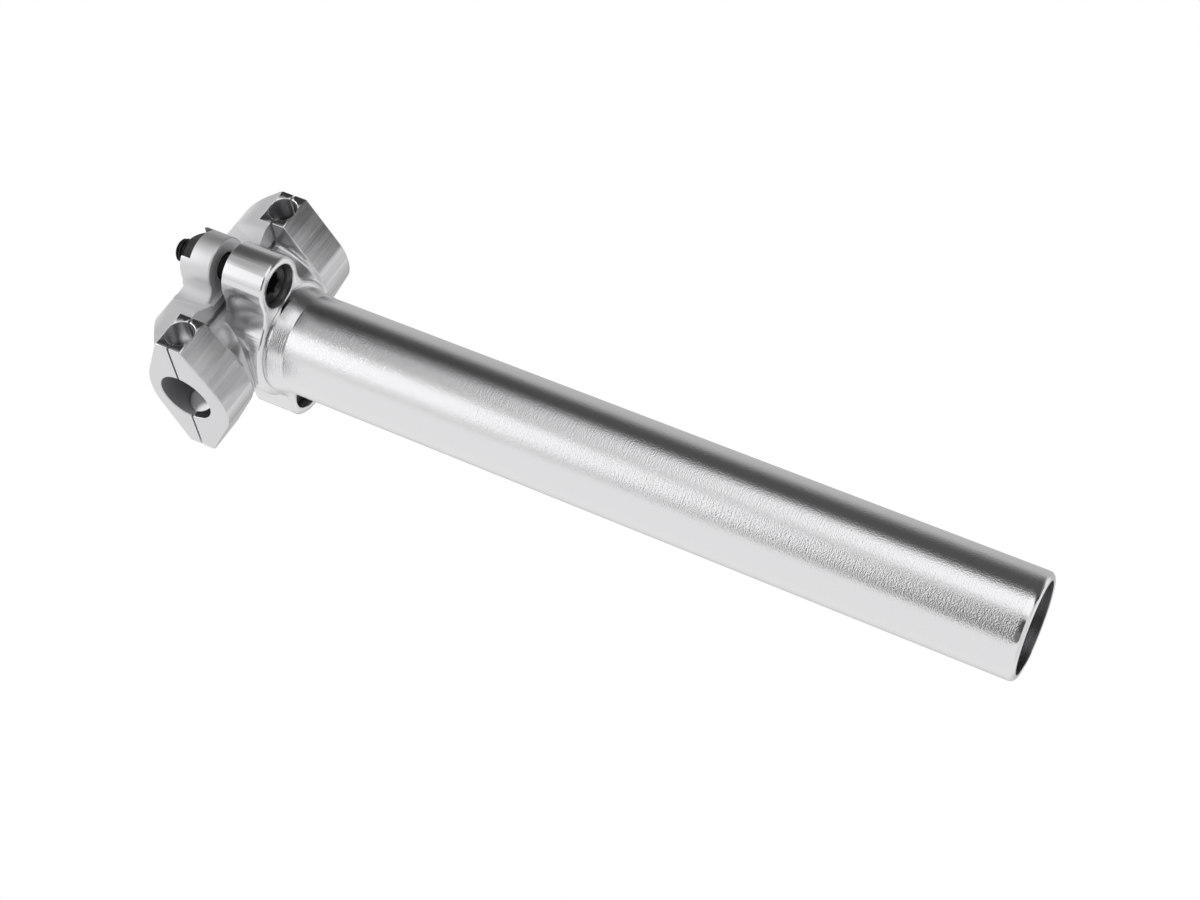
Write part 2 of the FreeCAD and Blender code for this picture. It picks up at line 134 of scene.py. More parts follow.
class Net:
    """A shader tree that is written as expressions."""

    # Sockets of the Mix node when it mixes colours.
    MIX_SHARE = 0
    MIX_FIRST = 6
    MIX_SECOND = 7
    MIX_RESULT = 2

    def __init__(self, tree: bpy.types.NodeTree) -> None:
        """Empties the tree."""
        self.tree = tree
        tree.nodes.clear()

    def node(self, kind: str, settings: Optional[dict[str, Any]] = None,
             inputs: Union[Iterable[Any], dict[Any, Any]] = (), out: Union[int, str] = 0) -> Wire:
        """Adds any node.

        Args:
            kind: The node's type.
            settings: Its properties, set first.
            inputs: Values or links, in the order of its sockets, or by their names or numbers.
            out: The output socket wanted.

        Returns:
            That output.
        """
        made = self.tree.nodes.new(kind)
        for name, value in (settings or {}).items():
            setattr(made, name, value)
        named = inputs.items() if isinstance(inputs, dict) else enumerate(inputs)
        for key, value in named:
            socket = made.inputs[key]
            if isinstance(value, Wire):
                self.tree.links.new(value.socket, socket)
            elif value is not None:
                socket.default_value = value
        return Wire(self, made.outputs[out] if len(made.outputs) else None)

    def place(self) -> Wire:
        """Object coordinates, which are metres in the part's own frame."""
        return self.node("ShaderNodeTexCoord", out="Object")

    def split(self, vector: Wire) -> tuple[Wire, Wire, Wire]:
        """The three parts of a vector."""
        parts = self.node("ShaderNodeSeparateXYZ", inputs=(vector,))
        outputs = parts.socket.node.outputs
        return Wire(self, outputs[0]), Wire(self, outputs[1]), Wire(self, outputs[2])

    def join(self, x: Number, y: Number, z: Number) -> Wire:
        """A vector from three parts."""
        return self.node("ShaderNodeCombineXYZ", inputs=(x, y, z))

    def noise(self, vector: Wire, scale: float, detail: float = 2.0, rough: float = 0.5) -> Wire:
        """Noise between 0 and 1.

        Args:
            vector: Where it is read.
            scale: Its cells per metre.
            detail: Its octaves.
            rough: The weight of the finer octaves.

        Returns:
            The noise value.
        """
        return self.node("ShaderNodeTexNoise", {},
                         {"Vector": vector, "Scale": scale, "Detail": detail, "Roughness": rough})

    def distance(self, a: Wire, b: Wire) -> Wire:
        """Length of a vector with two parts."""
        return (a * a + b * b).math("SQRT")

    def bump(self, height: Number, depth: float, under: Optional[Wire] = None) -> Wire:
        """A bumped normal.

        Args:
            height: Height between 0 and 1.
            depth: What a height of 1 stands for, in metres.
            under: The normal it is laid on.

        Returns:
            The normal.
        """
        inputs = {"Strength": 1.0, "Distance": depth, "Height": height}
        if under is not None:
            inputs["Normal"] = under
        return self.node("ShaderNodeBump", {}, inputs)

    def mix(self, share: Number, first: Any, second: Any) -> Wire:
        """Mixes two colours.

        Args:
            share: Share of the second.
            first: A colour or a link.
            second: A colour or a link.

        Returns:
            The mixed colour.
        """
        inputs = {self.MIX_SHARE: share, self.MIX_FIRST: first, self.MIX_SECOND: second}
        return self.node("ShaderNodeMix", {"data_type": "RGBA"}, inputs, self.MIX_RESULT)

    def principled(self, values: dict[str, Any]) -> None:
        """Ends a material in one Principled shader.

        Args:
            values: Values or links of its sockets by name.
        """
        shader = self.node("ShaderNodeBsdfPrincipled", {}, values)
        self.node("ShaderNodeOutputMaterial", {}, (shader,))


def opaque(colour: Colour) -> tuple[float, float, float, float]:
    """A colour with full alpha."""
    return (*colour, 1.0)


def new_material(name: str) -> tuple[bpy.types.Material, Net]:
    """An empty node material and its tree."""
    material = bpy.data.materials.new(name)
    material.use_nodes = True
    return material, Net(material.node_tree)


@dataclass(frozen=True)
class TurnedFinish:
    """Bright turned and polished alloy of the post, with fine lines round the tube."""

    colour: Colour = (0.75, 0.75, 0.76)
    # Dark colour for the bore's inside: painted shade inside the tube.
    bore_shade_colour: Colour = (0.26, 0.26, 0.27)
    roughness: float = 0.10
    head_roughness: float = 0.17
    mouth_roughness: float = 0.08
    bore_roughness: float = 0.38
    bore_edge: tuple[float, float] = (10.95 * MM, 11.05 * MM)
    mouth_top: tuple[float, float] = (1.2 * MM, 2.2 * MM)
    band_low: tuple[float, float] = (186.9 * MM, 187.1 * MM)
    band_high: tuple[float, float] = (192.0 * MM, 192.05 * MM)
    head_low: tuple[float, float] = (192.02 * MM, 192.1 * MM)
    metallic: float = 0.92
    line_pitch: float = 0.45 * MM
    line_depth: float = 22.0e-6
    line_elsewhere: float = 0.1
    band_pitch: float = 0.5 * MM
    band_depth: float = 75.0e-6
    grain_size: float = 0.42 * MM
    grain_squeeze: float = 1.4
    grain_depth: float = 52.0e-6
    grain_elsewhere: float = 0.12
    streak_size: float = 1.3 * MM
    streak_squeeze: float = 0.03
    streak_depth: float = 50.0e-6
    cloud_scale: float = 60.0
    cloud_share: float = 0.03

    def build(self) -> bpy.types.Material:
        """Makes the material."""
        material, net = new_material("turned_alloy_finish")
        x, y, z = net.split(net.place())
        radius = net.distance(x, y)
        in_bore = radius.fall(*self.bore_edge)
        off_mouth = z.step(*self.mouth_top)
        on_band = z.step(*self.band_low) * z.fall(*self.band_high)
        on_head = z.step(*self.head_low)
        on_tube = off_mouth * (1 - on_head)
        along = net.join(0.0, 0.0, z + radius * (1 - on_head))
        lines = net.noise(along, 1 / self.line_pitch, detail=1.0, rough=0.5)
        band_lines = net.noise(along, 1 / self.band_pitch, detail=2.0, rough=0.6)
        grain = net.noise(net.join(x, y, z * self.grain_squeeze), 1 / self.grain_size, detail=2.0, rough=0.6)
        grain = grain * (self.grain_elsewhere + (1 - self.grain_elsewhere) * on_tube)
        lines = lines * (self.line_elsewhere + (1 - self.line_elsewhere) * on_tube)
        normal = net.bump(grain, self.grain_depth)
        normal = net.bump(lines, self.line_depth, normal)
        normal = net.bump(band_lines * on_band, self.band_depth, normal)
        upright = net.join(x, y, z * self.streak_squeeze)
        streaks = net.noise(upright, 1 / self.streak_size, detail=2.0, rough=0.6)
        normal = net.bump(streaks * on_head, self.streak_depth, normal)
        cloud = net.noise(net.join(x, y, z), self.cloud_scale, detail=3.0, rough=0.5)
        rough = self.mouth_roughness + (self.roughness - self.mouth_roughness) * off_mouth \
            + (self.head_roughness - self.roughness) * on_head + self.cloud_share * (cloud - 0.5)
        rough = rough * (1 - in_bore) + in_bore * self.bore_roughness
        # The bore's inside is mixed to a dark colour: painted shade inside the tube.
        colour = net.mix(in_bore, opaque(self.colour), opaque(self.bore_shade_colour))
        metal = 1.0 - on_head * (1.0 - self.metallic)
        net.principled({"Base Color": colour, "Metallic": metal, "Roughness": rough, "Normal": normal})
        return material


@dataclass(frozen=True)
class Bores:
    """Where the rail bores, the cross window and the milled end faces of the jaws are."""

    rail_colour: Colour = (0.88, 0.88, 0.89)
    rail_y: float = 22.0 * MM
    axis_z: float = 206.0 * MM
    rail_wall: tuple[float, float] = (3.55 * MM, 3.85 * MM)
    rail_depth: tuple[float, float] = (11.0 * MM, 13.5 * MM)
    window_wall: tuple[float, float] = (7.02 * MM, 7.15 * MM)
    end_face: tuple[float, float] = (18.5 * MM, 18.6 * MM)

    def masks(self, net: Net, x: Wire, y: Wire, z: Wire) -> tuple[Wire, Wire]:
        """Finds the walls of the bores.

        Args:
            net: The shader tree.
            x: Place fore and aft.
            y: Place across.
            z: Height.

        Returns:
            The rail bores' walls, and the walls far inside, which are given a dark colour as painted shade.
        """
        rail = net.distance(y.math("ABSOLUTE") - self.rail_y, z - self.axis_z)
        in_rail = rail.fall(*self.rail_wall)
        window = net.distance(x, z - self.axis_z).fall(*self.window_wall)
        inside = in_rail * x.math("ABSOLUTE").fall(*self.rail_depth)
        return in_rail, window.math("MAXIMUM", inside)


BORES = Bores()


@dataclass(frozen=True)
class MachinedFinish:
    """Machined alloy of the lower jaw, with tool lines across the bicycle."""

    colour: Colour = (0.66, 0.66, 0.67)
    streak_colour: Colour = (0.50, 0.50, 0.51)
    # Dark colour for the window's wall and the far inner rail-bore walls: painted shade in these recesses.
    recess_shade_colour: Colour = (0.24, 0.24, 0.25)
    metallic: float = 0.86
    roughness: float = 0.20
    end_roughness: float = 0.13
    rail_roughness: float = 0.33
    line_pitch: float = 0.5 * MM
    line_depth: float = 34.0e-6
    line_squeeze: float = 0.02
    smooth_fade: float = 0.85
    streak_pitch: float = 3.0 * MM
    streak_share: float = 0.10
    streak_step: tuple[float, float] = (0.40, 0.62)
    grain_scale: float = 2200.0
    grain_depth: float = 9.0e-6
    block_inner: tuple[float, float] = (16.72 * MM, 16.85 * MM)
    block_outer: tuple[float, float] = (27.05 * MM, 27.25 * MM)

    def build(self) -> bpy.types.Material:
        """Makes the material."""
        material, net = new_material("machined_alloy_finish")
        place = net.place()
        x, y, z = net.split(place)
        in_rail, deep_shade = BORES.masks(net, x, y, z)
        on_end = x.math("ABSOLUTE").step(*BORES.end_face)
        across = net.join(x, y * self.line_squeeze, z)
        lines = net.noise(across, 1 / self.line_pitch, detail=3.0, rough=0.7)
        broad = net.noise(across, 1 / self.streak_pitch, detail=3.0, rough=0.6)
        grain = net.noise(place, self.grain_scale, detail=2.0, rough=0.6)
        smooth = in_rail.math("MAXIMUM", on_end)
        normal = net.bump(lines * (1 - smooth * self.smooth_fade), self.line_depth)
        normal = net.bump(grain, self.grain_depth, normal)
        aside = y.math("ABSOLUTE")
        on_block = aside.step(*self.block_inner) * aside.fall(*self.block_outer)
        streak = broad.fall(*self.streak_step) * (on_block * (1 - smooth))
        rough = self.roughness + self.streak_share * (broad - 0.5) \
            - (self.roughness - self.end_roughness) * on_end
        rough = rough * (1 - in_rail) + in_rail * self.rail_roughness
        colour = net.mix(streak, opaque(self.colour), opaque(self.streak_colour))
        colour = net.mix(in_rail, colour, opaque(BORES.rail_colour))
        # The window's wall and the far inner rail-bore walls are mixed to a dark colour: painted shade in
        # these recesses.
        colour = net.mix(deep_shade, colour, opaque(self.recess_shade_colour))
        metal = self.metallic + (1 - self.metallic) * smooth
        net.principled({"Base Color": colour, "Metallic": metal, "Roughness": rough, "Normal": normal})
        return material


@dataclass(frozen=True)
class BlastedFinish:
    """Bead-blasted alloy of the upper jaw, with polished rail bores."""

    colour: Colour = (0.67, 0.67, 0.68)
    # Dark colour for the window's wall and the far inner rail-bore walls: painted shade in these recesses.
    recess_shade_colour: Colour = (0.24, 0.24, 0.25)
    metallic: float = 0.12
    ear_metallic: float = 0.86
    roughness: float = 0.50
    ear_roughness: float = 0.44
    end_roughness: float = 0.13
    side_roughness: float = 0.28
    rail_roughness: float = 0.33
    side_face: tuple[float, float] = (27.12 * MM, 27.22 * MM)
    ear_side: tuple[float, float] = (10.0 * MM, 11.0 * MM)
    ear_start: tuple[float, float] = (18.9 * MM, 19.6 * MM)
    ear_under: tuple[float, float] = (207.62 * MM, 207.70 * MM)
    body_under: tuple[float, float] = (206.32 * MM, 206.40 * MM)
    grain_size: float = 0.28 * MM
    grain_depth: float = 14.0e-6
    milled_fade: float = 0.8
    cloud_scale: float = 250.0
    cloud_share: float = 0.10

    def build(self) -> bpy.types.Material:
        """Makes the material."""
        material, net = new_material("blasted_alloy_finish")
        place = net.place()
        x, y, z = net.split(place)
        in_rail, deep_shade = BORES.masks(net, x, y, z)
        aside = y.math("ABSOLUTE")
        reach = x.math("ABSOLUTE")
        across = aside.step(*self.ear_side)
        on_end = reach.step(*BORES.end_face) * across
        on_side = aside.step(*self.side_face)
        milled = in_rail.math("MAXIMUM", on_end).math("MAXIMUM", on_side)
        under_ear = z.fall(*self.ear_under) * (1 - across)
        below = z.fall(*self.body_under).math("MAXIMUM", under_ear)
        on_ear = (reach.step(*self.ear_start) * (1 - across)).math("MAXIMUM", below)
        grain = net.noise(place, 1 / self.grain_size, detail=3.0, rough=0.65)
        cloud = net.noise(place, self.cloud_scale, detail=3.0, rough=0.5)
        normal = net.bump(grain * (1 - milled * self.milled_fade), self.grain_depth)
        rough = self.roughness + (self.ear_roughness - self.roughness) * on_ear \
            + self.cloud_share * (cloud - 0.5)
        rough = rough * (1 - milled) + on_end * self.end_roughness + in_rail * self.rail_roughness \
            + on_side * self.side_roughness
        metal = self.metallic + (self.ear_metallic - self.metallic) * on_ear
        metal = metal + (1 - metal) * milled
        colour = net.mix(in_rail, opaque(self.colour), opaque(BORES.rail_colour))
        # The window's wall and the far inner rail-bore walls are mixed to a dark colour: painted shade in
        # these recesses.
        colour = net.mix(deep_shade, colour, opaque(self.recess_shade_colour))
        net.principled({"Base Color": colour, "Metallic": metal, "Roughness": rough, "Normal": normal})
        return material


@dataclass(frozen=True)
class BlackFinish:
    """Black oxide on the steel bolts and nuts."""

    colour: Colour = (0.018, 0.018, 0.019)
    worn: Colour = (0.06, 0.06, 0.062)
    metallic: float = 0.55
    roughness: float = 0.36
    cloud_scale: float = 700.0
    cloud_share: float = 0.2
    worn_step: tuple[float, float] = (0.52, 0.75)
    grain_scale: float = 4000.0
    grain_depth: float = 3.0e-6

    def build(self) -> bpy.types.Material:
        """Makes the material."""
        material, net = new_material("black_steel_finish")
        place = net.place()
        cloud = net.noise(place, self.cloud_scale, detail=4.0, rough=0.6)
        grain = net.noise(place, self.grain_scale, detail=2.0, rough=0.6)
        colour = net.mix(cloud.step(*self.worn_step), opaque(self.colour), opaque(self.worn))
        rough = self.roughness + self.cloud_share * (cloud - 0.5)
        normal = net.bump(grain, self.grain_depth)
        net.principled({"Base Color": colour, "Metallic": self.metallic, "Roughness": rough,
                        "Normal": normal})
        return material


def ring_mesh(rings: list[tuple[float, Union[float, Callable[[float], float]]]], count: int,
              centre_x: float = 0.0) -> bmesh.types.BMesh:
    """A closed shell from level rings, which start and end in a point.

    Args:
        rings: Each ring's height and its radius, or its radius as a function of the angle, in metres.
        count: Points in a ring.
        centre_x: Where the rings' common line stands.

    Returns:
        The mesh, its faces pointing outwards.
    """
    shell = bmesh.new()
    rows = []
    for height, radius in rings:
        if radius == 0.0:
            rows.append([shell.verts.new((centre_x, 0.0, height))])
            continue
        row = []
        for i in range(count):
            turn = 2 * math.pi * i / count
            reach = radius(turn) if callable(radius) else radius
            row.append(shell.verts.new((centre_x + reach * math.cos(turn), reach * math.sin(turn), height)))
        rows.append(row)
    for low, high in zip(rows, rows[1:]):
        for i in range(count):
            k = (i + 1) % count
            corners = [low[i % len(low)], low[k % len(low)], high[k % len(high)], high[i % len(high)]]
            unique = list(dict.fromkeys(corners))
            if len(unique) > 2:
                shell.faces.new(unique)
    bmesh.ops.recalc_face_normals(shell, faces=shell.faces)
    return shell


def hexagon_radius(across_flats: float) -> Callable[[float], float]:
    """Radius of a hexagon by the angle, with corners fore and aft."""
    def reach(turn: float) -> float:
        """Radius at one angle."""
        part = math.fmod(turn, math.pi / 3) - math.pi / 6
        return across_flats / 2 / math.cos(part)
    return reach


def cad_copy(node: str) -> bmesh.types.BMesh:
    """A CAD node's mesh, with its loose triangles merged."""
    shell = bmesh.new()
    shell.from_mesh(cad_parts[node].data)
    bmesh.ops.remove_doubles(shell, verts=shell.verts, dist=WELD)
    return shell


def plain_mesh(made: bpy.types.Object, name: str) -> bpy.types.Mesh:
    """An object's evaluated mesh, as a mesh of its own.

    Args:
        made: The object with its modifiers; it is removed.
        name: The new mesh's name.

    Returns:
        The mesh.
    """
    graph = bpy.context.evaluated_depsgraph_get()
    mesh = bpy.data.meshes.new_from_object(made.evaluated_get(graph), depsgraph=graph)
    mesh.name = name
    bpy.data.objects.remove(made)
    return mesh


def dressed_mesh(shell: bmesh.types.BMesh, name: str, sharp: float) -> bpy.types.Mesh:
    """Shades a shell smooth, so that its small bevels read as rounded edges.

    Args:
        shell: The shell; it is freed.
        name: The mesh's name.
        sharp: Edges that turn by more than this, in degrees, stay sharp.

    Returns:
        The mesh with weighted normals.
    """
    for face in shell.faces:
        face.smooth = True
    limit = math.radians(sharp)
    for edge in shell.edges:
        edge.smooth = len(edge.link_faces) == 2 and edge.calc_face_angle() < limit
    mesh = bpy.data.meshes.new(name)
    shell.to_mesh(mesh)
    shell.free()
    made = bpy.data.objects.new(name, mesh)
    bpy.context.scene.collection.objects.link(made)
    weighted = made.modifiers.new("weighted", "WEIGHTED_NORMAL")
    weighted.keep_sharp = True
    weighted.weight = FACE_WEIGHT
    return plain_mesh(made, name)


def add_piece(name: str, meshes: list[bpy.types.Mesh], material: bpy.types.Material, body: str,
              stands_for: str) -> bpy.types.Object:
    """Adds a finished piece in place of a CAD node.

    Args:
        name: The piece's name.
        meshes: Its shells.
        material: Its finish.
        body: The body it rides on.
        stands_for: The CAD node it replaces.

    Returns:
        The piece.
    """
    parts = []
    for mesh in meshes:
        mesh.materials.clear()
        mesh.materials.append(material)
        part = bpy.data.objects.new(name, mesh)
        bpy.context.scene.collection.objects.link(part)
        parts.append(part)
    if len(parts) > 1:
        with bpy.context.temp_override(active_object=parts[0], selected_editable_objects=parts,
                                       selected_objects=parts):
            bpy.ops.object.join()
    piece = parts[0]
    piece.name = name
    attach(piece, body)
    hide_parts(stands_for)
    log.info("%s: %d faces", name, len(piece.data.polygons))
    return piece


class Tree:
    """A geometry tree that is written node by node."""

    def __init__(self, name: str) -> None:
        """Makes the tree with one geometry output."""
        self.tree = bpy.data.node_groups.new(name, "GeometryNodeTree")
        self.tree.interface.new_socket("Geometry", in_out="OUTPUT", socket_type="NodeSocketGeometry")
        self.entry = self.tree.nodes.new("NodeGroupInput")
        self.exit = self.tree.nodes.new("NodeGroupOutput")

    def input(self, name: str, kind: str) -> bpy.types.NodeSocket:
        """Adds a named input and gives its socket."""
        self.tree.interface.new_socket(name, in_out="INPUT", socket_type=kind)
        return self.entry.outputs[name]

    def node(self, kind: str, settings: Optional[dict[str, Any]] = None,
             inputs: Optional[dict[Union[str, int], Any]] = None) -> bpy.types.Node:
        """Adds a node.

        Args:
            kind: The node's type.
            settings: Its properties.
            inputs: Values or sockets for its inputs.

        Returns:
            The node.
        """
        made = self.tree.nodes.new(kind)
        for name, value in (settings or {}).items():
            setattr(made, name, value)
        for key, value in (inputs or {}).items():
            if isinstance(value, bpy.types.NodeSocket):
                self.tree.links.new(value, made.inputs[key])
            else:
                made.inputs[key].default_value = value
        return made

    def math(self, operation: str, *values: Any) -> bpy.types.NodeSocket:
        """A Math node's result on values or sockets."""
        return self.node("ShaderNodeMath", {"operation": operation}, dict(enumerate(values))).outputs[0]

    def finish(self, geometry: bpy.types.NodeSocket, material: bpy.types.NodeSocket) -> None:
        """Realizes, sets the material and closes the tree."""
        real = self.node("GeometryNodeRealizeInstances", {}, {0: geometry})
        dressed = self.node("GeometryNodeSetMaterial", {}, {0: real.outputs[0], "Material": material})
        self.tree.links.new(dressed.outputs[0], self.exit.inputs[0])


@dataclass
class Thread:
    """Threaded shank, as a closed shell whose groove winds up it."""

    centre_x: float
    low_z: float
    high_z: float
    radius: float = 3.0 * MM
    pitch: float = 1.0 * MM
    depth: float = 0.55 * MM
    point: float = 0.6 * MM
    around: int = 48
    rows_per_turn: int = 10
    sharp: float = 55.0

    # The groove's wave is stretched and shifted before it is clamped, which gives flat crests and roots.
    WAVE_GAIN = 1.4
    WAVE_SHIFT = -0.2
    # The grid runs from -0.5 to 0.5; its first and last rows close the shell in a point.
    END_ROW = 0.4999

    @classmethod
    def tree(cls) -> bpy.types.NodeTree:
        """Builds the tree: a grid that is rolled up, with its radius read from the height and angle."""
        tree = Tree("thread")
        radius = tree.input("Radius", "NodeSocketFloat")
        pitch = tree.input("Pitch", "NodeSocketFloat")
        depth = tree.input("Depth", "NodeSocketFloat")
        point = tree.input("Point", "NodeSocketFloat")
        length = tree.input("Length", "NodeSocketFloat")
        around = tree.input("Around", "NodeSocketInt")
        rows = tree.input("Rows", "NodeSocketInt")
        foot = tree.input("Foot", "NodeSocketVector")
        material = tree.input("Material", "NodeSocketMaterial")
        grid = tree.node("GeometryNodeMeshGrid", {}, {"Size X": 1.0, "Size Y": 1.0, "Vertices X": around,
                                                      "Vertices Y": rows})
        place = tree.node("ShaderNodeSeparateXYZ", {},
                          {0: tree.node("GeometryNodeInputPosition").outputs[0]})
        share = tree.math("ADD", place.outputs[0], 0.5)
        turn = tree.math("MULTIPLY", share, 2 * math.pi)
        height = tree.math("MULTIPLY", tree.math("ADD", place.outputs[1], 0.5), length)
        phase = tree.math("FRACT", tree.math("SUBTRACT", tree.math("DIVIDE", height, pitch), share))
        wave = tree.math("ABSOLUTE", tree.math("SUBTRACT", tree.math("MULTIPLY", phase, 2.0), 1.0))
        stretched = tree.math("MULTIPLY_ADD", wave, cls.WAVE_GAIN, cls.WAVE_SHIFT)
        cut = tree.node("ShaderNodeClamp", {}, {0: stretched}).outputs[0]
        crest = tree.math("SUBTRACT", radius, tree.math("MULTIPLY", cut, depth))
        left = tree.math("SUBTRACT", length, height)
        taper = tree.math("SUBTRACT", tree.math("ADD", radius, left), point)
        reach = tree.math("MINIMUM", crest, taper)
        at_end = tree.math("GREATER_THAN", tree.math("ABSOLUTE", place.outputs[1]), cls.END_ROW)
        open_part = tree.math("SUBTRACT", 1.0, at_end)
        reach = tree.math("MULTIPLY", reach, open_part)
        spot = tree.node("ShaderNodeCombineXYZ", {},
                         {0: tree.math("MULTIPLY", reach, tree.math("COSINE", turn)),
                          1: tree.math("MULTIPLY", reach, tree.math("SINE", turn)), 2: height})
        moved = tree.node("GeometryNodeSetPosition", {}, {0: grid.outputs[0], "Position": spot.outputs[0],
                                                          "Offset": foot})
        merged = tree.node("GeometryNodeMergeByDistance", {}, {0: moved.outputs[0], "Distance": WELD})
        tree.finish(merged.outputs[0], material)
        return tree.tree

    def build(self, tree: bpy.types.NodeTree, material: bpy.types.Material) -> bpy.types.Mesh:
        """Runs the tree for this shank.

        Args:
            tree: The thread tree.
            material: The finish.

        Returns:
            The shank's mesh.
        """
        length = self.high_z - self.low_z
        values = {"Radius": self.radius, "Pitch": self.pitch, "Depth": self.depth, "Point": self.point,
                  "Length": length, "Around": self.around + 1,
                  "Rows": round(length / self.pitch * self.rows_per_turn) + 1,
                  "Foot": (self.centre_x, 0.0, self.low_z), "Material": material}
        made = bpy.data.objects.new("thread", bpy.data.meshes.new("thread"))
        bpy.context.scene.collection.objects.link(made)
        modifier = made.modifiers.new("thread", "NODES")
        modifier.node_group = tree
        for item in tree.interface.items_tree:
            if item.in_out == "INPUT":
                modifier[item.identifier] = values[item.name]
        shell = bmesh.new()
        shell.from_mesh(plain_mesh(made, "thread"))
        bmesh.ops.recalc_face_normals(shell, faces=shell.faces)
        return dressed_mesh(shell, "thread", self.sharp)


@dataclass
class Post:
    """Turned tube and head, in one piece."""

    tube_radius: float = 12.7 * MM
    bore_radius: float = 10.9 * MM
    mouth_round: float = 1.4 * MM
    mouth_bevel: float = 0.2 * MM
    flare_low: float = 187.0 * MM
    flange_z: float = 192.0 * MM
    flare_radius: float = 13.48 * MM
    flare_high: float = 190.9 * MM
    seam: float = 0.15 * MM
    seam_slope: float = 0.8
    cut_gap: float = 0.01 * MM
    into_head: float = 0.7 * MM
    bore_end: float = 187.0 * MM
    bore_end_bevel: float = 2.0 * MM
    around: int = 192
    mouth_steps: int = 16
    tube_sharp: float = 8.0
    head_sharp: float = 50.0

    def tube(self) -> bmesh.types.BMesh:
        """Lathes the tube with its rounded mouth and blind bore."""
        rings: list[tuple[float, Any]] = [
            (self.bore_end, 0.0),
            (self.bore_end, self.bore_radius - self.bore_end_bevel),
            (self.bore_end - self.bore_end_bevel, self.bore_radius),
            (self.mouth_bevel, self.bore_radius),
            (0.0, self.bore_radius + self.mouth_bevel),
        ]
        for i in range(self.mouth_steps + 1):
            turn = math.pi / 2 * i / self.mouth_steps
            rings.append((self.mouth_round * (1 - math.cos(turn)),
                          self.tube_radius - self.mouth_round * (1 - math.sin(turn))))
        root = self.flare_radius - self.seam
        rings += [(self.flare_low, self.tube_radius), (self.flare_high, self.flare_radius),
                  (self.flange_z - self.seam, self.flare_radius),
                  (self.flange_z - self.seam * self.seam_slope, root),
                  (self.flange_z + self.into_head, root),
                  (self.flange_z + self.into_head, 0.0)]
        return ring_mesh(rings, self.around)

    def head(self) -> bmesh.types.BMesh:
        """Takes the head from the CAD post and closes it where the tube joins."""
        shell = cad_copy("post")
        low = [v for v in shell.verts if v.co.z < self.flange_z - self.cut_gap]
        bmesh.ops.delete(shell, geom=low, context="VERTS")
        edges = [e for e in shell.edges if e.is_boundary]
        bmesh.ops.holes_fill(shell, edges=edges, sides=0)
        bmesh.ops.recalc_face_normals(shell, faces=shell.faces)
        return shell

    def build(self, finish: bpy.types.Material) -> None:
        """Makes and dresses the post."""
        meshes = [dressed_mesh(self.tube(), "post_tube", self.tube_sharp),
                  dressed_mesh(self.head(), "post_head", self.head_sharp)]
        add_piece("post_turned", meshes, finish, "post", "post")


@dataclass
class Clamp:
    """The two jaws that hold the saddle rails."""

    lower_sharp: float = 46.0
    upper_sharp: float = 46.0

    def build(self, lower: bpy.types.Material, upper: bpy.types.Material) -> None:
        """Makes and dresses both jaws."""
        add_piece("lower_jaw_machined", [dressed_mesh(cad_copy("lower_jaw"), "lower_jaw", self.lower_sharp)],
                  lower, "clamp", "lower_jaw")
        add_piece("upper_jaw_blasted", [dressed_mesh(cad_copy("upper_jaw"), "upper_jaw", self.upper_sharp)],
                  upper, "clamp", "upper_jaw")


@dataclass
class Fastener:
    """One socket-head bolt with its nut."""

    name: str
    centre_x: float
    base_z: float = 194.2 * MM
    seat_z: float = 200.2 * MM
    end_z: float = 221.0 * MM
    head_radius: float = 5.0 * MM
    head_round: float = 0.5 * MM
    socket_flats: float = 5.0 * MM
    socket_depth: float = 3.0 * MM
    drill_point: float = 0.6 * MM
    drill_share: float = 0.9
    lead_in: float = 0.3 * MM
    lip: float = 0.05 * MM
    shank_overlap: float = 1.0 * MM
    around: int = 96
    round_steps: int = 5
    head_sharp: float = 35.0
    nut_sharp: float = 32.0

    def head(self) -> bmesh.types.BMesh:
        """Makes the head with its hexagon socket."""
        hexagon = hexagon_radius(self.socket_flats)
        corner = self.socket_flats / 2 / math.cos(math.pi / 6)
        floor_z = self.base_z + self.socket_depth
        rings: list[tuple[float, Any]] = [
            (floor_z + self.drill_point, 0.0),
            (floor_z, self.drill_share * self.socket_flats / 2),
            (floor_z, hexagon),
            (self.base_z + self.lead_in + self.lip, hexagon),
            (self.base_z + self.lead_in, lambda turn: max(hexagon(turn), corner - self.lead_in)),
            (self.base_z, corner + self.lip),
        ]
        for i in range(self.round_steps + 1):
            turn = math.pi / 2 * i / self.round_steps
            rings.append((self.base_z + self.head_round * (1 - math.cos(turn)),
                          self.head_radius - self.head_round * (1 - math.sin(turn))))
        rings += [(self.seat_z, self.head_radius), (self.seat_z, 0.0)]
        return ring_mesh(rings, self.around, self.centre_x)

    def build(self, finish: bpy.types.Material, thread_tree: bpy.types.NodeTree) -> None:
        """Makes and dresses the bolt and its nut."""
        shank = Thread(self.centre_x, self.seat_z - self.shank_overlap, self.end_z)
        meshes = [dressed_mesh(self.head(), self.name + "_head", self.head_sharp),
                  shank.build(thread_tree, finish)]
        add_piece(self.name + "_bolt_black", meshes, finish, self.name + "_bolt",
                  self.name + "_bolt")
        nut = dressed_mesh(cad_copy(self.name + "_nut"), self.name + "_nut", self.nut_sharp)
        add_piece(self.name + "_nut_black", [nut], finish, self.name + "_nut", self.name + "_nut")


